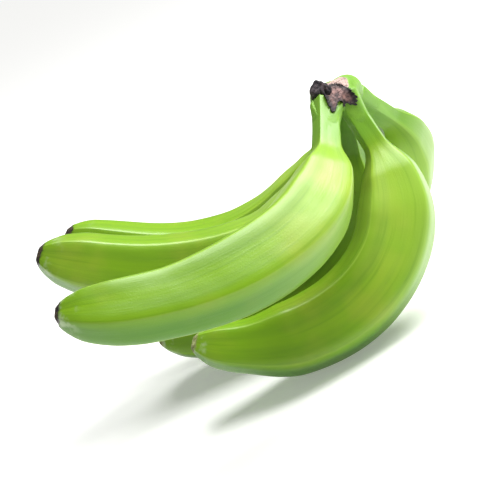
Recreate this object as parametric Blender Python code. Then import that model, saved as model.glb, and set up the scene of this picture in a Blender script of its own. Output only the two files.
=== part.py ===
# A joined hand of six green plantains, lying on the backs of its outer fruits.
# Each fruit is one solid from neck to blossom end. All lengths here are millimetres, and mm() turns them to metres.
import math
import bmesh
import bpy
import numpy as np
from mathutils import Matrix, Vector
from mathutils.bvhtree import BVHTree

# How the hand lies: turned from "necks straight up" about Y, then about X, until it balances on its bellies.
REST_PITCH = math.radians(26.6)
REST_TILT = math.radians(4.6)

# One row per fruit. root: middle of the cut neck. lean: neck direction to the right of straight down.
# fan: swing of the whole fruit away from the front. length: along the middle line. girth: greatest half-width.
# bend: how far the middle line has turned at each of BEND_AT. waist: half-width of the neck over the girth.
# late, last: half-width over the girth at 0.75 and 0.87 of the length. roll: turn of the ridges about the middle line.
BEND_AT = (0.0, 0.12, 0.24, 0.45, 0.7, 1.0)
FRUITS = {
    "fruit_near_inner": dict(root=(47.7, -18.4, 177.2), lean=-2, fan=-60, length=246, girth=22.4,
                             bend=(0, -1, 9, 41, 65, 91), waist=0.36, late=0.86, last=0.79, roll=28),
    "fruit_near_outer": dict(root=(58.2, -6.1, 179.8), lean=29, fan=-26, length=242, girth=24.2,
                             bend=(0, -4, 12, 55, 95, 132), waist=0.29, late=0.93, last=0.67, roll=15),
    "fruit_mid_inner": dict(root=(46.9, 0.3, 174.3), lean=-4, fan=-4, length=249, girth=23.2,
                            bend=(0, -1, 15, 62, 86, 101), waist=0.26, late=0.89, last=0.85, roll=-4),
    "fruit_mid_outer": dict(root=(57.3, 13.4, 170.3), lean=18, fan=-2, length=240, girth=21.6,
                            bend=(0, 5, 8, 54, 86, 99), waist=0.33, late=0.91, last=0.89, roll=0),
    "fruit_far_inner": dict(root=(48.6, 28.4, 169.7), lean=-2, fan=12, length=250, girth=21.9,
                            bend=(0, -6, 20, 51, 87, 113), waist=0.34, late=0.89, last=0.79, roll=-14),
    "fruit_far_outer": dict(root=(66.1, 27.9, 168.7), lean=43, fan=40, length=237, girth=21.3,
                            bend=(0, 0, 30, 42, 90, 137), waist=0.34, late=0.93, last=0.76, roll=20),
}

# The peel has five faces that meet in five soft ridges. Angles run from the outer, convex side.
FACE_ANGLES = (-31, 31, 106, 180, 254)
FACE_REACH = (0.93, 0.93, 0.85, 0.95, 0.85)
RIDGES = (0, 65, 147, 213, 295)
RIDGE_SPREAD = 10
NECK_KEENNESS = 14
BODY_KEENNESS = 8
TIP_KEENNESS = 10
NECK_END = 0.14
FLARE_END = 0.34
# Where the dark blossom end takes over from the green peel, as a share of the length.
SCAB_FROM = 0.992
FRUIT_RINGS = 25
RING_CROWDING = 0.06
SCAB_RINGS = 5
LINE_STEPS = 240

GAP = 0.3
# The crown: a bar that runs from the front to the back, with a swelling where each neck grows out of it.
CROWN_LINE = ((50, -9, 179), (57, -1, 180), (61, 10, 178), (63, 21, 173), (63, 29, 168))
CROWN_RADIUS = (7.5, 8.5, 9.0, 8.5, 7.0)
CROWN_BALLS = 13
COLLAR_LENGTH = 5.0
COLLAR_SWELL = 1.14
BALL_RINGS = 10
VOXEL = 1.6
CROWN_TRIANGLE_SHARE = 0.42
CUT_POINT = (54, -2, 186.6)
CUT_NORMAL = (-0.12, -0.30, 0.94)
SOCKET_SHARE = 0.16
SOCKET_RINGS = 7

# The dried stalk stub at the front end of the crown.
STUB_MIDDLE = (43.8, -12.6, 183.2)
STUB_RADII = (6.2, 6.0, 6.2)
STUB_LUMPS = 0.9
STUB_RINGS = 12

# The torn dried skin on the front of the crown: reach in millimetres at each angle about its middle.
SKIN_MIDDLE = (53.6, -12.0, 180.4)
SKIN_FACING = (-0.02, -0.80, 0.60)
SKIN_TEETH = ((-6, 11.9), (6, 8.8), (49, 7.0), (85, 7.6), (125, 9.0), (150, 10.0), (180, 9.0), (203, 8.4),
              (228, 9.4), (250, 13.0), (261, 16.5), (272, 8.0), (284, 7.2), (298, 9.0), (318, 7.2), (332, 12.8))
SKIN_THICK = 1.1
SKIN_LOWEST = -9.0
PROBE = 1.3
SKIN_SECTORS = 64
SKIN_RINGS = 4
REACH_OUT = 40

GREEN = (0.275, 0.515, 0.055)
CROWN_GREEN = (0.330, 0.480, 0.120)
DRIED = (0.045, 0.026, 0.026)
CHARCOAL = (0.016, 0.013, 0.013)
SCAB = (0.020, 0.014, 0.010)


def mm(value):
    return value / 1000.0


def ease(low, high, x):
    t = np.clip((x - low) / (high - low), 0.0, 1.0)
    return t * t * (3 - 2 * t)


def smooth_through(xs, ys, x):
    """A curve through the points that never overshoots between them."""
    xs = np.asarray(xs, float)
    ys = np.asarray(ys, float)
    h = np.diff(xs)
    slope = np.diff(ys) / h
    tangent = np.zeros(len(xs))
    tangent[0] = slope[0]
    tangent[-1] = slope[-1]
    for i in range(1, len(xs) - 1):
        if slope[i - 1] * slope[i] > 0:
            before = 2 * h[i] + h[i - 1]
            after = h[i] + 2 * h[i - 1]
            tangent[i] = (before + after) / (before / slope[i - 1] + after / slope[i])
    x = np.asarray(x, float)
    k = np.clip(np.searchsorted(xs, x, side="right") - 1, 0, len(xs) - 2)
    u = (x - xs[k]) / h[k]
    first = (1 + 2 * u) * (1 - u) ** 2 * ys[k] + u * (1 - u) ** 2 * h[k] * tangent[k]
    return first + u * u * (3 - 2 * u) * ys[k + 1] + u * u * (u - 1) * h[k] * tangent[k + 1]


def swing(vector, fan):
    c = math.cos(fan)
    s = math.sin(fan)
    x, y, z = vector
    return np.array([x, c * y - s * z, s * y + c * z])


def middle_line(fruit):
    """Points, directions, and the directions of the concave side and of the left side, along the fruit."""
    t = np.linspace(0.0, 1.0, LINE_STEPS)
    turn = np.radians(smooth_through(BEND_AT, fruit["bend"], t))
    lean = math.radians(fruit["lean"])
    fan = math.radians(fruit["fan"])
    start = swing((math.sin(lean), 0, -math.cos(lean)), fan)
    inward = swing((-math.cos(lean), 0, -math.sin(lean)), fan)
    along = np.cos(turn)[:, None] * start + np.sin(turn)[:, None] * inward
    inner = -np.sin(turn)[:, None] * start + np.cos(turn)[:, None] * inward
    step = fruit["length"] / (LINE_STEPS - 1)
    points = np.zeros((LINE_STEPS, 3))
    points[1:] = np.cumsum((along[1:] + along[:-1]) / 2 * step, axis=0)
    points += np.array(fruit["root"], float)
    return t, points, along, inner, np.cross(along, inner)


def half_width(fruit, t):
    w = fruit["waist"]
    last = fruit["last"]
    at = (0, NECK_END / 2, NECK_END, NECK_END + 0.45 * (FLARE_END - NECK_END), FLARE_END,
          0.55, 0.75, 0.87, 0.935, 0.972, 0.991, 1.0)
    share = (1.08 * w, 0.97 * w, 1.02 * w, w + 0.62 * (1 - w), 0.97,
             1.0, fruit["late"], last, 0.82 * last, 0.57 * last, 0.36 * last, 0.19 * last)
    return fruit["girth"] * smooth_through(at, share, t)


def section(angle, keenness):
    """Distance from the middle line to the peel, over the half-width: five flat faces with eased corners."""
    total = np.zeros_like(angle)
    for face, reach in zip(FACE_ANGLES, FACE_REACH):
        total += np.clip(np.cos(angle - math.radians(face)) / reach, 0, None) ** keenness
    return total ** (-1.0 / keenness)


def around():
    """The angles of a ring's points: close together at the ridges, one more in the middle of each face."""
    found = []
    for i, ridge in enumerate(RIDGES):
        after = RIDGES[(i + 1) % len(RIDGES)] + (360 if i == len(RIDGES) - 1 else 0)
        found += [ridge - RIDGE_SPREAD, ridge, ridge + RIDGE_SPREAD, (ridge + after) / 2]
    return np.radians(sorted(a % 360 for a in found))


def ring_at(fruit, share, grow=0.0, push=0.0):
    t, points, along, inner, left = middle_line(fruit)
    at = [np.array([np.interp(share, t, field[:, k]) for k in range(3)]) for field in (points, along, inner, left)]
    keenness = NECK_KEENNESS + (BODY_KEENNESS - NECK_KEENNESS) * ease(0.1, 0.4, share)
    keenness += (TIP_KEENNESS - BODY_KEENNESS) * ease(0.7, 0.95, share)
    angle = around()
    reach = float(half_width(fruit, share)) * section(angle, keenness) + grow
    turned = angle + math.radians(fruit["roll"])
    ring = at[0] - at[2] * (reach * np.cos(turned))[:, None] + at[3] * (reach * np.sin(turned))[:, None]
    return ring + at[1] * push


def skin_over(rings, ends=(0.0, 0.0)):
    """A closed mesh over rings of points, each end closed by a fan about a middle point that stands out by ends."""
    work = bmesh.new()
    rows = [[work.verts.new(Vector(p) / 1000.0) for p in ring] for ring in rings]
    count = len(rows[0])
    for a, b in zip(rows, rows[1:]):
        for j in range(count):
            work.faces.new((a[j], a[(j + 1) % count], b[(j + 1) % count], b[j]))
    for row, ring, other, out in ((rows[0], rings[0], rings[1], ends[0]), (rows[-1], rings[-1], rings[-2], ends[1])):
        middle = np.mean(ring, axis=0)
        away = middle - np.mean(other, axis=0)
        away = away / np.linalg.norm(away)
        hub = work.verts.new(Vector(middle + away * out) / 1000.0)
        for j in range(count):
            work.faces.new((row[j], row[(j + 1) % count], hub))
    bmesh.ops.recalc_face_normals(work, faces=work.faces)
    return work


def place(name, work, colour, roughness, smooth=True):
    mesh = bpy.data.meshes.new(name)
    work.to_mesh(mesh)
    work.free()
    made = bpy.data.objects.new(name, mesh)
    bpy.context.scene.collection.objects.link(made)
    if smooth:
        mesh.shade_smooth()
    if colour:
        paint = bpy.data.materials.new(name)
        paint.use_nodes = True
        surface = paint.node_tree.nodes["Principled BSDF"]
        surface.inputs["Base Color"].default_value = (*colour, 1.0)
        surface.inputs["Roughness"].default_value = roughness
        surface.inputs["Metallic"].default_value = 0.0
        paint.diffuse_color = (*colour, 1.0)
        mesh.materials.append(paint)
    return made


def as_helper(made):
    made.hide_render = True
    made.display_type = "WIRE"
    return made


def fruit_shares():
    """Ring places along a fruit: closer together over the flare of the neck and toward the blossom end."""
    even = np.linspace(0.0, 1.0, FRUIT_RINGS)
    return SCAB_FROM * (even - RING_CROWDING * np.sin(2 * math.pi * even))


def make_fruit(name, fruit):
    rings = [ring_at(fruit, share) for share in fruit_shares()]
    return place(name, skin_over(rings), GREEN, 0.42)


def make_scab(name, fruit):
    shares = np.linspace(SCAB_FROM, 1.0, SCAB_RINGS)
    rings = [ring_at(fruit, share, push=GAP) for share in shares]
    return place(name, skin_over(rings, ends=(0.0, 0.6)), SCAB, 0.85)


def make_socket_cutter(name, fruit):
    """The upper neck, grown by the gap, which leaves its socket in the crown."""
    shares = np.linspace(0.0, SOCKET_SHARE, SOCKET_RINGS)
    rings = [ring_at(fruit, share, grow=GAP, push=-GAP if k == 0 else 0.0) for k, share in enumerate(shares)]
    return as_helper(place("socket_" + name, skin_over(rings), None, 0.0))


def add_ball(work, middle, radius):
    spot = Matrix.Translation(Vector(middle) / 1000.0)
    bmesh.ops.create_uvsphere(work, u_segments=2 * BALL_RINGS, v_segments=BALL_RINGS, radius=mm(radius), matrix=spot)


def crown_balls():
    line = np.array(CROWN_LINE, float)
    at = np.linspace(0, 1, len(line))
    work = bmesh.new()
    spine = []
    for share in np.linspace(0, 1, CROWN_BALLS):
        middle = np.array([smooth_through(at, line[:, k], share) for k in range(3)])
        add_ball(work, middle, float(smooth_through(at, CROWN_RADIUS, share)))
        spine.append(middle)
    spine = np.array(spine)
    for fruit in FRUITS.values():
        _, points, along, _, _ = middle_line(fruit)
        root = points[0] + along[0] * COLLAR_LENGTH * 0.5
        base = spine[np.argmin(np.linalg.norm(spine - points[0], axis=1))]
        radius = fruit["girth"] * fruit["waist"] * COLLAR_SWELL
        for share in np.linspace(0, 1, 7):
            middle = root * (1 - share) + base * share - along[0] * 2.0 * math.sin(math.pi * share)
            add_ball(work, middle, radius * (1 + 0.10 * share))
    return work


def blend(made, grow=0.0):
    """Melts overlapping balls into one skin."""
    melt = made.modifiers.new("melt", "REMESH")
    melt.mode = "VOXEL"
    melt.voxel_size = mm(VOXEL)
    soften = made.modifiers.new("soften", "SMOOTH")
    soften.factor = 0.5
    soften.iterations = 6
    lighten = made.modifiers.new("lighten", "DECIMATE")
    lighten.ratio = CROWN_TRIANGLE_SHARE
    if grow:
        swell = made.modifiers.new("swell", "DISPLACE")
        swell.strength = mm(grow)
        swell.mid_level = 0.0


def cut_away(made, cutter):
    cut = made.modifiers.new("cut_" + cutter.name, "BOOLEAN")
    cut.operation = "DIFFERENCE"
    cut.solver = "EXACT"
    cut.object = cutter


def make_block(name, point, normal, size=60.0):
    """A cube whose lower face lies on the cut plane."""
    work = bmesh.new()
    bmesh.ops.create_cube(work, size=mm(size))
    up = Vector(normal).normalized()
    turn = up.to_track_quat("Z", "Y").to_matrix().to_4x4()
    spot = Matrix.Translation((Vector(point) + up * size / 2) / 1000.0) @ turn
    bmesh.ops.transform(work, matrix=spot, verts=work.verts)
    return as_helper(place(name, work, None, 0.0, smooth=False))


def make_stub(colour):
    """The shrivelled stub of the bunch stalk: an egg with shallow lumps."""
    rings = []
    for i in range(1, STUB_RINGS):
        polar = math.pi * i / STUB_RINGS
        angle = np.linspace(0, 2 * math.pi, 2 * STUB_RINGS, endpoint=False)
        lump = STUB_LUMPS * (np.sin(3 * angle + 2.2 * polar) * 0.6 + np.sin(5 * angle - 4 * polar) * 0.4) * math.sin(polar)
        x = (STUB_RADII[0] + lump) * math.sin(polar) * np.cos(angle)
        y = (STUB_RADII[1] + lump) * math.sin(polar) * np.sin(angle)
        z = np.full_like(x, STUB_RADII[2] * math.cos(polar)) + 0.3 * lump
        rings.append(np.stack([x, y, z], axis=1) + np.array(STUB_MIDDLE, float))
    return place("stalk_stub", skin_over(rings, ends=(0.5, 0.5)), colour, 0.9)


def tooth_reach(angle):
    angles = [math.radians(a) for a, _ in SKIN_TEETH]
    reaches = [r for _, r in SKIN_TEETH]
    angles = [angles[-1] - 2 * math.pi] + angles + [angles[0] + 2 * math.pi]
    reaches = [reaches[-1]] + reaches + [reaches[0]]
    return float(np.interp(angle, angles, reaches))


def surface_height(under, spot, facing, right, upward):
    """How far the surface stands toward SKIN_FACING at a spot, taking the highest point close about it."""
    heights = []
    for across in (-PROBE, 0, PROBE):
        for along in (-PROBE, 0, PROBE):
            start = (spot + right * across + upward * along + facing * REACH_OUT) / 1000.0
            hit = under.ray_cast(start, -facing)[0]
            if hit is not None:
                heights.append((hit * 1000.0 - spot).dot(facing))
    return max(heights + [SKIN_LOWEST])


def make_dried_skin(under):
    """Torn skin laid on the crown: sight lines square to SKIN_FACING find the surface, and the sheet follows it."""
    facing = Vector(SKIN_FACING).normalized()
    right = Vector((0, 0, 1)).cross(facing).normalized()
    upward = facing.cross(right)
    low = []
    high = []
    for k in range(SKIN_RINGS + 1):
        share = max(k / SKIN_RINGS, 0.04)
        under_row = []
        upper_row = []
        for j in range(SKIN_SECTORS):
            angle = 2 * math.pi * j / SKIN_SECTORS - math.radians(20)
            reach = tooth_reach(angle) * share
            spot = Vector(SKIN_MIDDLE) + right * reach * math.cos(angle) + upward * reach * math.sin(angle)
            height = surface_height(under, spot, facing, right, upward) + 3 * GAP
            under_row.append(np.array(spot + facing * height))
            upper_row.append(np.array(spot + facing * (height + SKIN_THICK)))
        low.append(under_row)
        high.append(upper_row)
    return place("dried_skin", skin_over(low + high[::-1]), DRIED, 0.88)


def keep_largest(made):
    """Settles the modifiers into the mesh and drops the loose crumbs that the cuts leave."""
    graph = bpy.context.evaluated_depsgraph_get()
    settled = bpy.data.meshes.new_from_object(made.evaluated_get(graph))
    work = bmesh.new()
    work.from_mesh(settled)
    left = set(work.faces)
    islands = []
    while left:
        front = [left.pop()]
        island = list(front)
        while front:
            for edge in front.pop().edges:
                for face in edge.link_faces:
                    if face in left:
                        left.remove(face)
                        front.append(face)
                        island.append(face)
        islands.append(island)
    islands.sort(key=lambda island: sum(face.calc_area() for face in island))
    for island in islands[:-1]:
        bmesh.ops.delete(work, geom=island, context="FACES")
    loose = [v for v in work.verts if not v.link_faces]
    bmesh.ops.delete(work, geom=loose, context="VERTS")
    made.modifiers.clear()
    work.to_mesh(settled)
    work.free()
    made.data = settled


def tree_of(objects):
    graph = bpy.context.evaluated_depsgraph_get()
    points = []
    faces = []
    for made in objects:
        mesh = made.evaluated_get(graph).to_mesh()
        base = len(points)
        points += [v.co.copy() for v in mesh.vertices]
        faces += [[base + i for i in p.vertices] for p in mesh.polygons]
        made.evaluated_get(graph).to_mesh_clear()
    return BVHTree.FromPolygons(points, faces)


def lay_down(objects, solids):
    """Turns the hand onto its bellies, with the lowest point at height zero and its box centred on the origin."""
    turn = Matrix.Rotation(REST_TILT, 4, "X") @ Matrix.Rotation(REST_PITCH, 4, "Y")
    for made in objects:
        made.data.transform(turn)
    corners = np.array([v.co for made in solids for v in made.data.vertices])
    low = corners.min(axis=0)
    high = corners.max(axis=0)
    shift = Matrix.Translation((-(low[0] + high[0]) / 2, -(low[1] + high[1]) / 2, -low[2]))
    for made in objects:
        made.data.transform(shift)


for old in list(bpy.data.objects):
    bpy.data.objects.remove(old, do_unlink=True)

fruits = [make_fruit(name, fruit) for name, fruit in FRUITS.items()]
scabs = [make_scab(name.replace("fruit", "blossom_end"), fruit) for name, fruit in FRUITS.items()]
sockets = [make_socket_cutter(name, fruit) for name, fruit in FRUITS.items()]

crown = place("crown", crown_balls(), CROWN_GREEN, 0.5)
blend(crown)
top_cut = make_block("top_cut", CUT_POINT, CUT_NORMAL)
crown_grown = as_helper(place("crown_grown", crown_balls(), None, 0.0))
blend(crown_grown, GAP)
stub = make_stub(CHARCOAL)
cut_away(crown, top_cut)
bpy.context.view_layer.update()
dried_skin = make_dried_skin(tree_of([crown] + fruits))
for socket in sockets:
    cut_away(crown, socket)
cut_away(stub, crown_grown)
bpy.context.view_layer.update()
for made in (crown, stub):
    keep_largest(made)

helpers = sockets + [top_cut, crown_grown]
lay_down(fruits + scabs + helpers + [crown, stub, dried_skin], fruits + scabs)
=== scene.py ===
import math
import bmesh
import bpy
import numpy as np
from mathutils import Matrix, Vector
from mathutils.bvhtree import BVHTree


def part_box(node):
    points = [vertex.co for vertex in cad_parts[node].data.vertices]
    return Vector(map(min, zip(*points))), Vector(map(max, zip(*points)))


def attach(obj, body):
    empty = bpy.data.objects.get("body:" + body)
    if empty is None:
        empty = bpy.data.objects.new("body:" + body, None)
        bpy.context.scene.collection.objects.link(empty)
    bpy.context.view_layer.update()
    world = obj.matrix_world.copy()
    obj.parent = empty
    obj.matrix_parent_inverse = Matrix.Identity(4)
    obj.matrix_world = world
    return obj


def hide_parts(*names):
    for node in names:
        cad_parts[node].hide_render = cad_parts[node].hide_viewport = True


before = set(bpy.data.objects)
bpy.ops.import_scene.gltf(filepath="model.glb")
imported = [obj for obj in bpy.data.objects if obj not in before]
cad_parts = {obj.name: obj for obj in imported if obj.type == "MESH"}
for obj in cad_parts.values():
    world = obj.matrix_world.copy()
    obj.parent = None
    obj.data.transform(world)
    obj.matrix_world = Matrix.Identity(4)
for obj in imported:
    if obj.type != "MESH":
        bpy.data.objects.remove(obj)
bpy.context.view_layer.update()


def linear(hexColour):
    # an sRGB hex value to the linear numbers the shaders take
    parts = [int(hexColour[i:i + 2], 16) / 255 for i in (1, 3, 5)]
    return tuple(c / 12.92 if c <= 0.04045 else ((c + 0.055) / 1.055) ** 2.4 for c in parts) + (1.0,)


def addNode(tree, kind, inputs=(), out=0, **settings):
    # one node with its settings, its inputs as numbers or other nodes' outputs, by name or in order
    node = tree.nodes.new(kind)
    for key, value in settings.items():
        setattr(node, key, value)
    for key, value in inputs.items() if isinstance(inputs, dict) else enumerate(inputs):
        if isinstance(value, bpy.types.NodeSocket):
            tree.links.new(value, node.inputs[key])
        else:
            node.inputs[key].default_value = value
    return node.outputs[out]


# how the hand lies, as the CAD has it: built with the necks up, then turned onto its bellies
handPose = {"pitch": math.radians(26.6), "tilt": math.radians(4.6)}
layTurn = Matrix.Rotation(handPose["tilt"], 4, "X") @ Matrix.Rotation(handPose["pitch"], 4, "Y")

# millimetres and degrees; bend is how far the middle line has turned at each of bendAt,
# and waist, late and last are half-widths as shares of the girth
bendAt = (0.0, 0.12, 0.24, 0.45, 0.7, 1.0)
plantains = {
    "NearInner": dict(node="near_inner", root=(47.7, -18.4, 177.2), lean=-2, fan=-60, length=246, girth=22.4,
                      bend=(0, -1, 9, 41, 65, 91), waist=0.36, late=0.86, last=0.79, roll=28, seed=3),
    "NearOuter": dict(node="near_outer", root=(58.2, -6.1, 179.8), lean=29, fan=-26, length=242, girth=24.2,
                      bend=(0, -4, 12, 55, 95, 132), waist=0.29, late=0.93, last=0.67, roll=15,
                      seed=11, paleEnd=True),
    "MidInner": dict(node="mid_inner", root=(46.9, 0.3, 174.3), lean=-4, fan=-4, length=249, girth=23.2,
                     bend=(0, -1, 15, 62, 86, 101), waist=0.26, late=0.89, last=0.85, roll=-4, seed=23),
    "MidOuter": dict(node="mid_outer", root=(57.3, 13.4, 170.3), lean=18, fan=-2, length=240, girth=21.6,
                     bend=(0, 5, 8, 54, 86, 99), waist=0.33, late=0.91, last=0.89, roll=0,
                     seed=37, paleEnd=True),
    "FarInner": dict(node="far_inner", root=(48.6, 28.4, 169.7), lean=-2, fan=12, length=250, girth=21.9,
                     bend=(0, -6, 20, 51, 87, 113), waist=0.34, late=0.89, last=0.79, roll=-14, seed=41),
    "FarOuter": dict(node="far_outer", root=(66.1, 27.9, 168.7), lean=43, fan=40, length=237, girth=21.3,
                     bend=(0, 0, 30, 42, 90, 137), waist=0.34, late=0.93, last=0.76, roll=20, seed=53),
}


def smoothThrough(xs, ys, x):
    # a curve through the points that never overshoots between them
    xs, ys = np.asarray(xs, float), np.asarray(ys, float)
    h = np.diff(xs)
    slope = np.diff(ys) / h
    tangent = np.zeros(len(xs))
    tangent[0], tangent[-1] = slope[0], slope[-1]
    for i in range(1, len(xs) - 1):
        if slope[i - 1] * slope[i] > 0:
            before, after = 2 * h[i] + h[i - 1], h[i] + 2 * h[i - 1]
            tangent[i] = (before + after) / (before / slope[i - 1] + after / slope[i])
    x = np.asarray(x, float)
    k = np.clip(np.searchsorted(xs, x, side="right") - 1, 0, len(xs) - 2)
    u = (x - xs[k]) / h[k]
    first = (1 + 2 * u) * (1 - u) ** 2 * ys[k] + u * (1 - u) ** 2 * h[k] * tangent[k]
    return first + u * u * (3 - 2 * u) * ys[k + 1] + u * u * (u - 1) * h[k] * tangent[k + 1]


def swingBack(vector, fan):
    c, s = math.cos(fan), math.sin(fan)
    x, y, z = vector
    return np.array([x, c * y - s * z, s * y + c * z])


def middleLine(fruit, steps=260):
    # points down the middle of one fruit, its directions, and the plane's normal, all in millimetres
    t = np.linspace(0.0, 1.0, steps)
    turn = np.radians(smoothThrough(bendAt, fruit["bend"], t))
    lean, fan = math.radians(fruit["lean"]), math.radians(fruit["fan"])
    start = swingBack((math.sin(lean), 0, -math.cos(lean)), fan)
    inward = swingBack((-math.cos(lean), 0, -math.sin(lean)), fan)
    along = np.cos(turn)[:, None] * start + np.sin(turn)[:, None] * inward
    points = np.zeros((steps, 3))
    points[1:] = np.cumsum((along[1:] + along[:-1]) / 2 * fruit["length"] / (steps - 1), axis=0)
    return t, points + np.array(fruit["root"], float), along, np.cross(start, inward)


def halfWidth(fruit, t):
    w, last = fruit["waist"], fruit["last"]
    at = (0, 0.07, 0.14, 0.23, 0.34, 0.55, 0.75, 0.87, 0.935, 0.972, 0.991, 1.0)
    share = (1.08 * w, 0.97 * w, 1.02 * w, w + 0.62 * (1 - w), 0.97, 1.0, fruit["late"],
             last, 0.82 * last, 0.57 * last, 0.36 * last, 0.19 * last)
    return fruit["girth"] * smoothThrough(at, share, t)


peelShape = {
    "ringsAlong": 220,
    "pointsAround": 120,
    # the five faces: the angle of each from the outer side, and its reach
    "faces": ((-31, 0.93), (31, 0.93), (106, 0.85), (180, 0.95), (254, 0.85)),
    "neckKeen": 13.0,         # how keen the ridges are on the neck
    "bodyKeen": 8.5,          # and on the body
    "scabFrom": 0.992,        # where the dry blossom end takes over
    "waver": 0.00045,         # metres the peel wanders from the even shape
    "ridgeLift": 0.00035,     # metres the five ridges stand proud
    "crowding": 0.075,        # closer rings at the two ends
    "wanderScale": 26.0,      # dents about 40 mm long
    "patternRadius": 0.0225,  # metres, the round fruit that the patterns are drawn on
}


def buildPeelTree():
    # a peel over a curve: a grid is wrapped round it, with five flat faces and eased ridges between them
    tree = bpy.data.node_groups.new("plantainPeel", "GeometryNodeTree")
    sockets = (("Middle Line", "NodeSocketGeometry"), ("Rings", "NodeSocketInt"), ("Around", "NodeSocketInt"),
               ("Plane Normal", "NodeSocketVector"), ("Length", "NodeSocketFloat"), ("From", "NodeSocketFloat"),
               ("To", "NodeSocketFloat"), ("Roll", "NodeSocketFloat"), ("Waver", "NodeSocketFloat"),
               ("Ridge Lift", "NodeSocketFloat"), ("Seed", "NodeSocketFloat"), ("Peel", "NodeSocketMaterial"))
    for name, kind in sockets:
        tree.interface.new_socket(name, in_out="INPUT", socket_type=kind)
    tree.interface.new_socket("Peel Mesh", in_out="OUTPUT", socket_type="NodeSocketGeometry")
    given = tree.nodes.new("NodeGroupInput").outputs
    maths, vectors = "ShaderNodeMath", "ShaderNodeVectorMath"

    # a flat grid of one metre: its length runs along the fruit, its width once round
    grid = addNode(tree, "GeometryNodeMeshGrid", {"Size X": 1.0, "Size Y": 1.0, "Vertices X": given["Rings"],
                                                  "Vertices Y": given["Around"]})
    flat = addNode(tree, "ShaderNodeSeparateXYZ", (addNode(tree, "GeometryNodeInputPosition"),)).node.outputs
    even = addNode(tree, maths, (flat["X"], 0.5), operation="ADD")
    wave = addNode(tree, maths, (even, 2 * math.pi), operation="MULTIPLY")
    wave = addNode(tree, maths, (wave,), operation="SINE")
    crowd = addNode(tree, maths, (wave, peelShape["crowding"]), operation="MULTIPLY")
    share = addNode(tree, maths, (even, crowd), operation="SUBTRACT")
    span = addNode(tree, maths, (given["To"], given["From"]), operation="SUBTRACT")
    along = addNode(tree, maths, (share, span, given["From"]), operation="MULTIPLY_ADD")
    turns = addNode(tree, maths, (flat["Y"], 0.5), operation="ADD")
    angle = addNode(tree, maths, (turns, 2 * math.pi), operation="MULTIPLY")

    line = addNode(tree, "GeometryNodeSampleCurve",
                   {"Curves": given["Middle Line"], "Factor": along,
                    "Value": addNode(tree, "GeometryNodeInputRadius")},
                   data_type="FLOAT", mode="FACTOR").node.outputs
    inner = addNode(tree, vectors, (given["Plane Normal"], line["Tangent"]), operation="CROSS_PRODUCT")
    inner = addNode(tree, vectors, (inner,), operation="NORMALIZE")

    # keener ridges on the neck than on the body, as the real peel has
    keen = addNode(tree, "ShaderNodeMapRange",
                   {"Value": along, "From Min": 0.1, "From Max": 0.42, "To Min": peelShape["neckKeen"],
                    "To Max": peelShape["bodyKeen"]}, interpolation_type="SMOOTHSTEP")
    total, sharpSum, sharpSquares = 0.0, 0.0, 0.0
    for faceAngle, reach in peelShape["faces"]:
        facing = addNode(tree, maths, (angle, math.radians(faceAngle)), operation="SUBTRACT")
        facing = addNode(tree, maths, (facing,), operation="COSINE")
        facing = addNode(tree, maths, (facing, reach), operation="DIVIDE")
        facing = addNode(tree, maths, (facing, 0.0), operation="MAXIMUM")
        term = addNode(tree, maths, (facing, keen), operation="POWER")
        sharp = addNode(tree, maths, (facing, 26.0), operation="POWER")
        square = addNode(tree, maths, (sharp, sharp), operation="MULTIPLY")
        total = addNode(tree, maths, (total, term), operation="ADD")
        sharpSum = addNode(tree, maths, (sharpSum, sharp), operation="ADD")
        sharpSquares = addNode(tree, maths, (sharpSquares, square), operation="ADD")
    root = addNode(tree, maths, (-1.0, keen), operation="DIVIDE")
    outline = addNode(tree, maths, (total, root), operation="POWER")

    # 1 on a ridge, where two faces pull alike, and 0 in the middle of a face
    alone = addNode(tree, maths, (sharpSum, sharpSum), operation="MULTIPLY")
    alone = addNode(tree, maths, (sharpSquares, alone), operation="DIVIDE")
    shared = addNode(tree, maths, (1.0, alone), operation="SUBTRACT")
    crest = addNode(tree, maths, (shared, 2.0), operation="MULTIPLY")
    crest = addNode(tree, maths, (crest, 0.0), operation="MAXIMUM")
    crest = addNode(tree, maths, (crest, 2.0), operation="POWER")

    # a space that runs once round the fruit and along it in real metres, with no seam
    cosine = addNode(tree, maths, (angle,), operation="COSINE")
    sine = addNode(tree, maths, (angle,), operation="SINE")
    aroundX = addNode(tree, maths, (cosine, peelShape["patternRadius"]), operation="MULTIPLY")
    aroundY = addNode(tree, maths, (sine, peelShape["patternRadius"]), operation="MULTIPLY")
    alongMetres = addNode(tree, maths, (along, given["Length"]), operation="MULTIPLY")
    space = addNode(tree, "ShaderNodeCombineXYZ", (aroundX, aroundY, alongMetres))

    wander = addNode(tree, "ShaderNodeTexNoise",
                     {"Vector": space, "W": given["Seed"], "Scale": peelShape["wanderScale"], "Detail": 2.0,
                      "Roughness": 0.45}, noise_dimensions="4D")
    wander = addNode(tree, maths, (wander, 0.5), operation="SUBTRACT")
    sway = addNode(tree, maths, (given["Waver"], 4.0), operation="MULTIPLY")   # noise seldom leaves 0.25 to 0.75
    wander = addNode(tree, maths, (wander, sway), operation="MULTIPLY")
    lift = addNode(tree, maths, (crest, given["Ridge Lift"]), operation="MULTIPLY")
    reachOut = addNode(tree, maths, (line["Value"], outline, wander), operation="MULTIPLY_ADD")
    reachOut = addNode(tree, maths, (reachOut, lift), operation="ADD")
    # the first and last rings close to a point
    pastFirst = addNode(tree, maths, (even, 0.0005), operation="GREATER_THAN")
    beforeLast = addNode(tree, maths, (even, 0.9995), operation="LESS_THAN")
    inside = addNode(tree, maths, (pastFirst, beforeLast), operation="MULTIPLY")
    reachOut = addNode(tree, maths, (reachOut, inside), operation="MULTIPLY")

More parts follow.
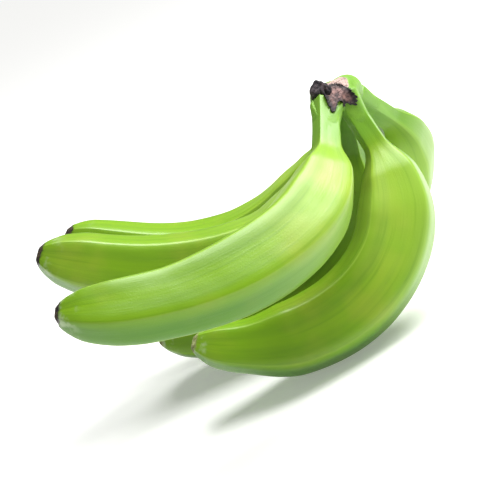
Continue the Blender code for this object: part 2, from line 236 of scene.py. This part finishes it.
    turned = addNode(tree, maths, (angle, given["Roll"]), operation="ADD")
    outward = addNode(tree, maths, (turned,), operation="COSINE")
    outward = addNode(tree, maths, (outward, reachOut), operation="MULTIPLY")
    outward = addNode(tree, maths, (outward, -1.0), operation="MULTIPLY")
    sideways = addNode(tree, maths, (turned,), operation="SINE")
    sideways = addNode(tree, maths, (sideways, reachOut), operation="MULTIPLY")
    outward = addNode(tree, vectors, {0: inner, "Scale": outward}, operation="SCALE")
    sideways = addNode(tree, vectors, {0: given["Plane Normal"], "Scale": sideways}, operation="SCALE")
    spot = addNode(tree, vectors, (line["Position"], outward), operation="ADD")
    spot = addNode(tree, vectors, (spot, sideways), operation="ADD")

    mesh = grid
    kept = (("along", "FLOAT", along), ("crest", "FLOAT", crest), ("peelSpace", "FLOAT_VECTOR", space),
            ("outerSide", "FLOAT", cosine))
    for name, kind, value in kept:
        mesh = addNode(tree, "GeometryNodeStoreNamedAttribute", {"Geometry": mesh, "Name": name, "Value": value},
                       data_type=kind, domain="POINT")
    mesh = addNode(tree, "GeometryNodeSetPosition", {"Geometry": mesh, "Position": spot})
    mesh = addNode(tree, "GeometryNodeMergeByDistance", {"Geometry": mesh, "Distance": 0.00002})
    mesh = addNode(tree, "GeometryNodeSetShadeSmooth", {"Geometry": mesh, "Shade Smooth": True})
    mesh = addNode(tree, "GeometryNodeRealizeInstances", {"Geometry": mesh})
    mesh = addNode(tree, "GeometryNodeSetMaterial", {"Geometry": mesh, "Material": given["Peel"]})
    tree.links.new(mesh, tree.nodes.new("NodeGroupOutput").inputs[0])
    return tree


def settle(name, host):
    # the evaluated result as a plain mesh object, with its faces turned outward
    graph = bpy.context.evaluated_depsgraph_get()
    mesh = bpy.data.meshes.new_from_object(host.evaluated_get(graph))
    bpy.data.objects.remove(host, do_unlink=True)
    work = bmesh.new()
    work.from_mesh(mesh)
    bmesh.ops.recalc_face_normals(work, faces=work.faces)
    work.to_mesh(mesh)
    work.free()
    mesh.name = name
    piece = bpy.data.objects.new(name, mesh)
    bpy.context.scene.collection.objects.link(piece)
    return piece


def wrapPeel(name, fruit, tree, material, start, end, rings, around, waver, lift):
    t, points, _, normal = middleLine(fruit)
    curve = bpy.data.curves.new(name + "Line", "CURVE")
    curve.dimensions = "3D"
    spline = curve.splines.new("POLY")
    spline.points.add(len(points) - 1)
    for point, spot, width in zip(spline.points, points, halfWidth(fruit, t)):
        point.co = (*(spot / 1000), 1.0)
        point.radius = width / 1000
    host = bpy.data.objects.new(name + "Line", curve)
    bpy.context.scene.collection.objects.link(host)
    wrap = host.modifiers.new("peel", "NODES")
    wrap.node_group = tree
    values = {"Rings": rings, "Around": around, "Plane Normal": tuple(normal), "From": start, "To": end,
              "Length": fruit["length"] / 1000, "Roll": math.radians(fruit["roll"]), "Waver": waver,
              "Ridge Lift": lift, "Seed": float(fruit["seed"]), "Peel": material}
    for item in tree.interface.items_tree:
        if item.in_out == "INPUT" and item.name in values:
            wrap[item.identifier] = values[item.name]
    bpy.context.view_layer.update()
    return settle(name, host)


def newMaterial(name):
    material = bpy.data.materials.new(name)
    material.use_nodes = True
    tree = material.node_tree
    tree.nodes.clear()
    shader = tree.nodes.new("ShaderNodeBsdfPrincipled")
    output = tree.nodes.new("ShaderNodeOutputMaterial")
    tree.links.new(shader.outputs[0], output.inputs[0])
    return material, tree, shader


def paint(tree, base, layers):
    # colours laid over one another: each layer shows where its source goes from low to high, as strongly as top
    colour = linear(base)
    for source, low, high, top, tint in layers:
        amount = addNode(tree, "ShaderNodeMapRange", (source, low, high, 0.0, top), interpolation_type="SMOOTHSTEP")
        tint = tint if isinstance(tint, bpy.types.NodeSocket) else linear(tint)
        colour = addNode(tree, "ShaderNodeMix", {0: amount, 6: colour, 7: tint}, 2, data_type="RGBA")
    return colour


def finish(tree, shader, colour, roughness, height, strength, depth):
    # the colour, how matt it is, and the relief; depth is in metres
    tree.links.new(colour, shader.inputs["Base Color"])
    shader.inputs["Roughness"].default_value = roughness
    bump = addNode(tree, "ShaderNodeBump", {"Strength": strength, "Distance": depth, "Height": height})
    tree.links.new(bump, shader.inputs["Normal"])


peelLook = {
    "green": "#76a012",
    "paintedHighlight": "#aacb50",        # painted highlight on the ridges and the shoulder
    "deep": "#527d0c",        # soft darker streaks
    "paintedCoolShade": "#36701a",        # painted shade with a cool reflected tint on the two outer faces
    "yellow": "#9aa636",      # sun-side blotches
    "neck": "#6c9a28",
    "frost": "#a9bd8e",       # dry bloom beside the blossom end
    "scar": "#6b6a3a",        # corky flecks
    "char": "#2c2117",        # dry rim round the blossom end
    "straw": "#8c8d55",       # the same rim where the end has worn to fibre
    "roughness": 0.36,
    "streakWide": 0.0016,     # metres across and along one streak
    "streakLong": 0.045,
    "blotch": 0.05,           # metres across one blotch
}


def greenPlantainPeel(name, rim):
    # waxy green peel: satin, faint lengthwise streaks, a painted highlight on the ridges and the shoulder, painted
    # shade with a cool reflected tint on the outer faces
    material, tree, shader = newMaterial(name)
    look = peelLook
    noise, mapping, maths = "ShaderNodeTexNoise", "ShaderNodeMapping", "ShaderNodeMath"
    where = addNode(tree, "ShaderNodeTexCoord", out="Object")
    space = addNode(tree, "ShaderNodeAttribute", out="Vector", attribute_name="peelSpace")
    along = addNode(tree, "ShaderNodeAttribute", out="Fac", attribute_name="along")
    crest = addNode(tree, "ShaderNodeAttribute", out="Fac", attribute_name="crest")
    outer = addNode(tree, "ShaderNodeAttribute", out="Fac", attribute_name="outerSide")

    across, lengthwise = 1 / look["streakWide"], 1 / look["streakLong"]
    streakSpace = addNode(tree, mapping, {"Vector": space, "Scale": (across, across, lengthwise)})
    streaks = addNode(tree, noise, {"Vector": streakSpace, "Scale": 0.55, "Detail": 4.0, "Roughness": 0.6})
    broadSpace = addNode(tree, mapping, {"Vector": space, "Scale": (95, 95, 9)})      # bands 10 mm wide
    broad = addNode(tree, noise, {"Vector": broadSpace, "Scale": 1.0, "Detail": 2.0})
    blotches = addNode(tree, noise, {"Vector": where, "Scale": 1 / look["blotch"], "Detail": 3.0, "Roughness": 0.55})
    bloom = addNode(tree, noise, {"Vector": where, "Scale": 130.0, "Detail": 3.0})    # patches of 8 mm
    scarred = addNode(tree, noise, {"Vector": where, "Scale": 22.0, "Detail": 3.0})   # stretches of 45 mm
    flecks = addNode(tree, "ShaderNodeTexVoronoi", {"Vector": where, "Scale": 95.0, "Randomness": 1.0},
                     feature="F1")                                                     # one fleck in 10 mm
    crumble = addNode(tree, noise, {"Vector": where, "Scale": 420.0, "Detail": 4.0, "Roughness": 0.6})
    rimEdge = addNode(tree, maths, (crumble, 0.016, along), operation="MULTIPLY_ADD")

    # how strong the shoulder's painted highlight, the bloom and the flecks are, from place to place
    shoulderHighlight = addNode(tree, "ShaderNodeMapRange", (along, 0.60, 0.30, 0.0, 0.34), interpolation_type="SMOOTHSTEP")
    bloomy = addNode(tree, "ShaderNodeMapRange", (bloom, 0.48, 0.66, 0.0, 0.75), interpolation_type="SMOOTHSTEP")
    flecky = addNode(tree, "ShaderNodeMapRange", (scarred, 0.56, 0.66, 0.0, 0.5), interpolation_type="SMOOTHSTEP")
    colour = paint(tree, look["green"], (
        (broad, 0.40, 0.85, 0.6, look["deep"]),
        (blotches, 0.48, 0.72, 0.45, look["yellow"]),
        # painted shade with a cool reflected tint on the outer faces
        (outer, 0.30, 0.80, 0.65, look["paintedCoolShade"]),
        # painted highlight on the shoulder, near the neck
        (along, 0.08, 0.30, shoulderHighlight, look["paintedHighlight"]),
        # painted highlight along the ridges
        (crest, 0.45, 1.0, 0.75, look["paintedHighlight"]),
        (streaks, 0.48, 0.78, 0.42, look["deep"]),
        (along, 0.17, 0.10, 1.0, look["neck"]),      # runs into the crown with no line
        (along, 0.93, 0.985, bloomy, look["frost"]),
        (flecks, 0.10, 0.045, flecky, look["scar"]),
        (rimEdge, 0.993, 1.0, 1.0, rim)))

    fineSpace = addNode(tree, mapping, {"Vector": space, "Scale": (1300, 1300, 90)})
    fine = addNode(tree, noise, {"Vector": fineSpace, "Scale": 1.0, "Detail": 3.0, "Roughness": 0.6})
    pores = addNode(tree, noise, {"Vector": where, "Scale": 900.0, "Detail": 2.0})    # grain of a millimetre
    height = addNode(tree, maths, (streaks, 1.6, fine), operation="MULTIPLY_ADD")
    height = addNode(tree, maths, (pores, 0.7, height), operation="MULTIPLY_ADD")
    finish(tree, shader, colour, look["roughness"], height, 0.30, 0.00022)
    rough = addNode(tree, "ShaderNodeMapRange", (broad, 0.2, 0.8, look["roughness"] - 0.05,
                                                 look["roughness"] + 0.09), interpolation_type="SMOOTHSTEP")
    tree.links.new(rough, shader.inputs["Roughness"])
    shader.inputs["IOR"].default_value = 1.45
    shader.inputs["Subsurface Weight"].default_value = 0.06
    shader.inputs["Subsurface Radius"].default_value = (0.35, 0.6, 0.12)
    shader.inputs["Subsurface Scale"].default_value = 0.003
    shader.inputs["Coat Weight"].default_value = 0.06
    shader.inputs["Coat Roughness"].default_value = 0.28
    return material


def dryBlossomEnd(name, dark, worn):
    # corky blossom scar: matt and wrinkled, near-black on most fruits, straw-coloured fibre where it has worn
    material, tree, shader = newMaterial(name)
    where = addNode(tree, "ShaderNodeTexCoord", out="Object")
    grain = addNode(tree, "ShaderNodeTexNoise",
                    {"Vector": where, "Scale": 480.0, "Detail": 5.0, "Roughness": 0.65})     # 2 mm
    colour = paint(tree, dark, ((grain, 0.42, 0.70, 1.0, worn),))
    finish(tree, shader, colour, 0.85, grain, 0.8, 0.0006)
    return material


def crownTissue():
    # green crown, smooth where the necks leave it, with a dried pinkish cut across the top
    material, tree, shader = newMaterial("greenCrownTissue")
    where = addNode(tree, "ShaderNodeTexCoord", out="Object")
    cut = addNode(tree, "ShaderNodeAttribute", out="Fac", attribute_name="cutFace")
    patchy = addNode(tree, "ShaderNodeTexNoise",
                     {"Vector": where, "Scale": 120.0, "Detail": 4.0, "Roughness": 0.55})    # 8 mm
    grit = addNode(tree, "ShaderNodeTexNoise",
                   {"Vector": where, "Scale": 620.0, "Detail": 5.0, "Roughness": 0.7})       # 1.6 mm
    fibres = paint(tree, "#b09488", ((grit, 0.44, 0.62, 1.0, "#5c3f38"),))
    edge = addNode(tree, "ShaderNodeMath", (patchy, 0.5, cut), operation="MULTIPLY_ADD")
    colour = paint(tree, "#66942a", ((patchy, 0.38, 0.70, 1.0, "#719f28"), (grit, 0.60, 0.78, 0.5, "#6f7f3a"),
                                     (edge, 0.62, 0.80, 1.0, fibres)))
    finish(tree, shader, colour, 0.52, grit, 0.5, 0.0005)
    shader.inputs["IOR"].default_value = 1.45
    return material


def driedSkin():
    # torn skin dried on the crown: leathery purple-brown, paler in the middle, near-black at the torn edge
    material, tree, shader = newMaterial("driedCrownSkin")
    where = addNode(tree, "ShaderNodeTexCoord", out="Object")
    edge = addNode(tree, "ShaderNodeAttribute", out="Fac", attribute_name="tornEdge")
    mottle = addNode(tree, "ShaderNodeTexNoise",
                     {"Vector": where, "Scale": 210.0, "Detail": 6.0, "Roughness": 0.68})    # 5 mm
    fibre = addNode(tree, "ShaderNodeTexNoise",
                    {"Vector": where, "Scale": 700.0, "Detail": 4.0, "Roughness": 0.6})      # 1.4 mm
    darker = addNode(tree, "ShaderNodeMath", (mottle, 0.45, edge), operation="MULTIPLY_ADD")
    colour = paint(tree, "#3a2728", ((mottle, 0.40, 0.64, 1.0, "#8d6a64"), (fibre, 0.58, 0.76, 0.6, "#c3a59b"),
                                     (darker, 0.78, 1.12, 1.0, "#221a1c")))
    finish(tree, shader, colour, 0.72, mottle, 0.9, 0.0008)
    return material


def charredStub():
    # shrivelled stalk end: charcoal, cracked and matt
    material, tree, shader = newMaterial("shrivelledStalkEnd")
    where = addNode(tree, "ShaderNodeTexCoord", out="Object")
    crack = addNode(tree, "ShaderNodeTexNoise",
                    {"Vector": where, "Scale": 330.0, "Detail": 6.0, "Roughness": 0.7})      # 3 mm
    colour = paint(tree, "#15121a", ((crack, 0.40, 0.68, 1.0, "#57494d"),))
    finish(tree, shader, colour, 0.8, crack, 1.0, 0.001)
    return material


peel = greenPlantainPeel("waxyGreenPeel", peelLook["char"])
palePeel = greenPlantainPeel("waxyGreenPeelPaleEnd", peelLook["straw"])
scab = dryBlossomEnd("corkyBlossomEnd", "#1b1510", "#574632")
paleScab = dryBlossomEnd("fibrousBlossomEnd", "#6f7440", "#b9bd84")
crownGreen = crownTissue()
skinBrown = driedSkin()
stubBlack = charredStub()
print("materials made")

# the six fruits and their blossom ends
peelTree = buildPeelTree()
fruitPieces = {}
scabPieces = {}
for name, fruit in plantains.items():
    skinOf, endOf = (palePeel, paleScab) if fruit.get("paleEnd") else (peel, scab)
    edge = peelShape["scabFrom"]
    fruitPieces[name] = wrapPeel("peel" + name, fruit, peelTree, skinOf, 0.0, edge + 0.0015, peelShape["ringsAlong"],
                                 peelShape["pointsAround"], peelShape["waver"], peelShape["ridgeLift"])
    scabPieces[name] = wrapPeel("blossomEnd" + name, fruit, peelTree, endOf, edge - 0.001, 1.0, 16, 60, 0.0012, 0.0)
print("fruits wrapped:", len(fruitPieces))

# where the CAD has put the hand: the middle of each fruit's box tells how far it was moved
offsets = []
for name, fruit in plantains.items():
    low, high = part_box("fruit_" + fruit["node"])
    corners = np.array([layTurn @ v.co for v in fruitPieces[name].data.vertices])
    offsets.append((np.array(low) + np.array(high) - corners.min(axis=0) - corners.max(axis=0)) / 2)
shift = Vector(np.mean(offsets, axis=0))
print("hand moved by", np.round(np.array(shift) * 1000, 2), "spread", np.round(np.ptp(offsets, axis=0) * 1000, 2))
handToRow = Matrix.Translation(shift) @ layTurn

# the crown
crownShape = {
    "line": ((50, -9, 179), (57, -1, 180), (61, 10, 178), (63, 21, 173), (63, 29, 168)),
    "radii": (7.5, 8.5, 9.0, 8.5, 7.0),
    "balls": 15,
    "voxel": 0.00075,
    "sleeveShares": (0.0, 0.02, 0.04, 0.06, 0.08, 0.10),     # how far the crown's skin runs down each neck
    "sleeveProud": (1.3, 1.1, 0.7, 0.35, 0.0, -0.5),         # millimetres outside the peel at each of those
    "cutPoint": (54, -2, 186.6),
    "cutNormal": (-0.12, -0.30, 0.94),
}


def ringOf(fruit, share, grow, count=40):
    # points round the fruit at one share of its length, in millimetres
    t, points, along, normal = middleLine(fruit)
    middle = np.array([np.interp(share, t, points[:, k]) for k in range(3)])
    ahead = np.array([np.interp(share, t, along[:, k]) for k in range(3)])
    inner = np.cross(normal, ahead)
    angle = np.linspace(0, 2 * math.pi, count, endpoint=False)
    total = np.zeros(count)
    for faceAngle, reach in peelShape["faces"]:
        total += np.clip(np.cos(angle - math.radians(faceAngle)) / reach, 0, None) ** peelShape["neckKeen"]
    reach = float(halfWidth(fruit, share)) * total ** (-1 / peelShape["neckKeen"]) + grow
    turned = angle + math.radians(fruit["roll"])
    return middle - inner * (reach * np.cos(turned))[:, None] + normal * (reach * np.sin(turned))[:, None]


def buildCrown():
    work = bmesh.new()
    line = np.array(crownShape["line"], float)
    at = np.linspace(0, 1, len(line))
    spine = []

    def ball(middle, radius):
        bmesh.ops.create_uvsphere(work, u_segments=28, v_segments=16, radius=radius / 1000,
                                  matrix=Matrix.Translation(Vector(middle) / 1000))

    for share in np.linspace(0, 1, crownShape["balls"]):
        middle = np.array([smoothThrough(at, line[:, k], share) for k in range(3)])
        ball(middle, float(smoothThrough(at, crownShape["radii"], share)))
        spine.append(middle)
    spine = np.array(spine)
    for fruit in plantains.values():
        _, points, along, _ = middleLine(fruit)
        base = spine[np.argmin(np.linalg.norm(spine - points[0], axis=1))]
        radius = fruit["girth"] * fruit["waist"] * 1.06
        for share in np.linspace(0, 1, 9):
            middle = (points[0] + along[0] * 2.5) * (1 - share) + base * share
            middle = middle - along[0] * 2.0 * math.sin(math.pi * share)
            ball(middle, radius * (1 + 0.10 * share))
        rows = []
        for share, proud in zip(crownShape["sleeveShares"], crownShape["sleeveProud"]):
            rows.append([work.verts.new(Vector(p) / 1000) for p in ringOf(fruit, share, proud)])
        for a, b in zip(rows, rows[1:]):
            for j in range(len(a)):
                work.faces.new((a[j], a[(j + 1) % len(a)], b[(j + 1) % len(a)], b[j]))
        for row in (rows[0], rows[-1]):
            hub = work.verts.new(sum((v.co for v in row), Vector()) / len(row))
            for j in range(len(row)):
                work.faces.new((row[j], row[(j + 1) % len(row)], hub))
    bmesh.ops.recalc_face_normals(work, faces=work.faces)
    mesh = bpy.data.meshes.new("crownRough")
    work.to_mesh(mesh)
    work.free()
    rough = bpy.data.objects.new("crownRough", mesh)
    bpy.context.scene.collection.objects.link(rough)
    melt = rough.modifiers.new("melt", "REMESH")
    melt.mode = "VOXEL"
    melt.voxel_size = crownShape["voxel"]
    soften = rough.modifiers.new("soften", "SMOOTH")
    soften.factor = 0.5
    soften.iterations = 14
    bpy.context.view_layer.update()
    piece = settle("crownFlesh", rough)
    # the knife's cut: whatever stands above the plane is pressed down to it, with a slightly fibrous face
    normal = Vector(crownShape["cutNormal"]).normalized()
    through = Vector(crownShape["cutPoint"]) / 1000
    cutFace = piece.data.attributes.new("cutFace", "FLOAT", "POINT")
    values = []
    for v in piece.data.vertices:
        above = (v.co - through).dot(normal)
        if above > 0:
            fibre = 0.00022 * math.sin(v.co.x * 2600 + 3 * math.sin(v.co.y * 1900))
            v.co -= normal * (above - fibre)
        values.append(min(1.0, max(0.0, above / 0.0006)) * min(1.0, max(0.0, (v.co.z - 0.1815) / 0.002)))
    cutFace.data.foreach_set("value", values)
    piece.data.shade_smooth()
    piece.data.materials.clear()
    piece.data.materials.append(crownGreen)
    return piece


crown = buildCrown()
print("crown grown:", len(crown.data.polygons), "faces")

# the torn dried skin over the front of the crown
skinShape = {
    "middle": (53.6, -12.0, 180.4),
    "facing": (-0.02, -0.80, 0.60),
    # reach in millimetres at each angle about the middle: long points and short notches of the tear
    "teeth": ((-6, 11.9), (6, 8.8), (49, 7.0), (85, 7.6), (125, 9.0), (150, 10.0), (180, 9.0), (203, 8.4),
              (228, 9.4), (250, 13.0), (261, 16.5), (272, 8.0), (284, 7.2), (298, 9.0), (318, 7.2),
              (332, 12.8)),
    "thickness": 0.55,
    "clear": 0.25,
    "wrinkle": 0.55,
    "curl": 1.5,          # how far the torn edge lifts
    "sectors": 220,
    "rings": 26,
}


def buildSkin(under):
    facing = Vector(skinShape["facing"]).normalized()
    right = Vector((0, 0, 1)).cross(facing).normalized()
    upward = facing.cross(right)
    angles = np.radians([a for a, _ in skinShape["teeth"]])
    reaches = np.array([r for _, r in skinShape["teeth"]])
    angles = np.concatenate([[angles[-1] - 2 * math.pi], angles, [angles[0] + 2 * math.pi]])
    reaches = np.concatenate([[reaches[-1]], reaches, [reaches[0]]])
    heights = {}
    spots = {}
    for k in range(skinShape["rings"] + 1):
        share = max(k / skinShape["rings"], 0.01)
        for j in range(skinShape["sectors"]):
            angle = 2 * math.pi * j / skinShape["sectors"] - math.radians(20)
            ragged = 1 + 0.05 * math.sin(37 * angle) + 0.04 * math.sin(71 * angle + 1.3)
            reach = float(np.interp(angle, angles, reaches)) * share * (1 + (ragged - 1) * share ** 4)
            spot = Vector(skinShape["middle"]) + right * reach * math.cos(angle)
            spot = spot + upward * reach * math.sin(angle)
            hit = under.ray_cast((spot + facing * 40) / 1000, -facing)[0]
            height = (hit * 1000 - spot).dot(facing) if hit is not None else -9.0
            spots[k, j] = (spot, share, angle)
            heights[k, j] = max(height, -9.0)
    count = skinShape["sectors"]
    for _ in range(3):       # the skin stretches over hollows
        heights = {(k, j): max(h, (heights[k, (j + 1) % count] + heights[k, (j - 1) % count]) / 2
                               if 0 < k < skinShape["rings"] else h) for (k, j), h in heights.items()}
    work = bmesh.new()
    upper = []
    lower = []
    shares = {}
    for k in range(skinShape["rings"] + 1):
        rowHigh = []
        rowLow = []
        for j in range(count):
            spot, share, angle = spots[k, j]
            wrinkle = math.sin(spot.x * 1.9 + 1.7 * math.sin(spot.z * 1.3)) * 0.5
            wrinkle += math.sin(spot.x * 0.8 - spot.z * 2.3) * 0.5
            lift = skinShape["clear"] + skinShape["wrinkle"] * (0.5 + 0.5 * wrinkle)
            curled = max(0.0, share - 0.72) ** 2 / 0.078      # 0 until near the edge, 1 on it
            lift += skinShape["curl"] * curled * (0.5 + 0.5 * math.sin(5 * angle + 1))
            foot = spot + facing * (heights[k, j] + lift)
            a = work.verts.new((foot + facing * skinShape["thickness"]) / 1000)
            b = work.verts.new(foot / 1000)
            shares[a] = shares[b] = share
            rowHigh.append(a)
            rowLow.append(b)
        upper.append(rowHigh)
        lower.append(rowLow)
    for k in range(skinShape["rings"]):
        for j in range(count):
            n = (j + 1) % count
            work.faces.new((upper[k][j], upper[k + 1][j], upper[k + 1][n], upper[k][n]))
            work.faces.new((lower[k][j], lower[k][n], lower[k + 1][n], lower[k + 1][j]))
    for j in range(count):
        n = (j + 1) % count
        work.faces.new((upper[-1][j], lower[-1][j], lower[-1][n], upper[-1][n]))
    work.faces.new(list(reversed(upper[0])))
    work.faces.new(lower[0])
    work.verts.index_update()
    order = [shares[v] for v in work.verts]
    bmesh.ops.recalc_face_normals(work, faces=work.faces)
    mesh = bpy.data.meshes.new("tornSkin")
    work.to_mesh(mesh)
    work.free()
    mesh.attributes.new("tornEdge", "FLOAT", "POINT").data.foreach_set("value", order)
    mesh.shade_smooth()
    mesh.materials.append(skinBrown)
    piece = bpy.data.objects.new("tornSkin", mesh)
    bpy.context.scene.collection.objects.link(piece)
    return piece


def treeOf(pieces):
    points = []
    faces = []
    for piece in pieces:
        base = len(points)
        points += [v.co.copy() for v in piece.data.vertices]
        faces += [[base + i for i in p.vertices] for p in piece.data.polygons]
    return BVHTree.FromPolygons(points, faces)


skin = buildSkin(treeOf([crown, fruitPieces["NearInner"], fruitPieces["NearOuter"]]))
print("dried skin laid on")

# the shrivelled stalk stub at the crown's front end
stubShape = {"middle": (43.8, -12.6, 183.2), "radii": (6.2, 6.0, 6.2), "lump": 0.16}


def buildStub():
    work = bmesh.new()
    bmesh.ops.create_icosphere(work, subdivisions=6, radius=1.0)
    for v in work.verts:
        p = v.co.copy()
        lump = math.sin(3.1 * p.x + 4.3 * p.y) * math.sin(3.7 * p.z + 1.1)
        lump += 0.5 * math.sin(8.3 * p.y + 5.1 * p.z) * math.cos(7.7 * p.x)
        crease = -0.10 * max(0.0, math.sin(11 * math.atan2(p.y, p.x) + 2.5 * p.z)) ** 3
        size = 1 + stubShape["lump"] * lump + crease
        v.co = Vector([(m + r * c * size) / 1000 for m, r, c in zip(stubShape["middle"], stubShape["radii"], p)])
    mesh = bpy.data.meshes.new("stalkStub")
    work.to_mesh(mesh)
    work.free()
    mesh.shade_smooth()
    mesh.materials.append(stubBlack)
    piece = bpy.data.objects.new("stalkStub", mesh)
    bpy.context.scene.collection.objects.link(piece)
    return piece


stub = buildStub()
print("stalk stub made")

# everything goes to where the CAD has it, and rides on the one body
pieces = [crown, skin, stub] + list(fruitPieces.values()) + list(scabPieces.values())
for piece in pieces:
    piece.data.transform(handToRow)
    piece.data.update()
for name, fruit in plantains.items():
    for piece, node, slotName in ((fruitPieces[name], "fruit_", "peel"),
                                  (scabPieces[name], "blossom_end_", "blossom_scab")):
        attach(piece, "root")
        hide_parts(node + fruit["node"])
for piece, node, slotName in ((crown, "crown", "crown_green"), (skin, "dried_skin", "dried_skin"),
                              (stub, "stalk_stub", "stub_dark")):
    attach(piece, "root")
    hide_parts(node)
print("pieces placed:", len(pieces))

# floor, light and camera
studio = {
    "floorColour": "#f4f4f2",
    "floorGlow": (0.26, 0.80),   # lifts the paper to a clean white, less right under the fruit
    "worldStrength": 0.20,
    "keyWatts": 30.0,
    "keySize": 0.9,
    "keyPlace": (0.08, 1.05, 0.16),      # metres right, up and toward the camera, as the camera sees it
    "fillWatts": 0.4,
    "fillPlace": (-0.7, -0.1, 0.5),
}
floorMesh = bpy.data.meshes.new("floor")
reach = 6.0
corners = [(-reach, -reach, 0), (reach, -reach, 0), (reach, reach, 0), (-reach, reach, 0)]
floorMesh.from_pydata(corners, [], [(0, 1, 2, 3)])
floor = bpy.data.objects.new("floor", floorMesh)
bpy.context.scene.collection.objects.link(floor)
paper, paperTree, paperShader = newMaterial("whitePaperSweep")
paperShader.inputs["Base Color"].default_value = linear(studio["floorColour"])
paperShader.inputs["Roughness"].default_value = 0.9
paperShader.inputs["Emission Color"].default_value = linear(studio["floorColour"])
paperPlace = addNode(paperTree, "ShaderNodeTexCoord", out="Object")
paperReach = addNode(paperTree, "ShaderNodeVectorMath", (paperPlace,), "Value", operation="LENGTH")
paperGlow = addNode(paperTree, "ShaderNodeMapRange", (paperReach, 0.15, 1.1, *studio["floorGlow"]),
                    interpolation_type="SMOOTHSTEP")
paperTree.links.new(paperGlow, paperShader.inputs["Emission Strength"])
floorMesh.materials.append(paper)

camera = bpy.data.objects.new("camera", bpy.data.cameras.new("camera"))
bpy.context.scene.collection.objects.link(camera)
camera.data.lens = 118
camera.data.sensor_width = 36
camera.data.clip_start = 0.01
camera.location = Vector((0.2036, -0.9568, 0.3308)) + shift
camera.rotation_euler = (math.radians(73.14), math.radians(26.51), math.radians(2.30))
bpy.context.scene.camera = camera
bpy.context.view_layer.update()

world = bpy.data.worlds.new("studio")
bpy.context.scene.world = world
world.use_nodes = True
world.node_tree.nodes["Background"].inputs["Color"].default_value = (1.0, 1.0, 1.0, 1.0)
world.node_tree.nodes["Background"].inputs["Strength"].default_value = studio["worldStrength"]

aim = camera.matrix_world @ Vector((0, 0, -0.97))
for name, watts, size, place in (("keySoftbox", studio["keyWatts"], studio["keySize"], studio["keyPlace"]),
                                 ("fillSoftbox", studio["fillWatts"], 0.9, studio["fillPlace"])):
    lamp = bpy.data.objects.new(name, bpy.data.lights.new(name, "AREA"))
    bpy.context.scene.collection.objects.link(lamp)
    lamp.data.energy = watts
    lamp.data.size = size
    lamp.location = aim + camera.matrix_world.to_3x3() @ Vector(place)
    lamp.rotation_euler = (aim - lamp.location).to_track_quat("-Z", "Y").to_euler()
bpy.context.scene.view_settings.view_transform = "Standard"
print("studio set")
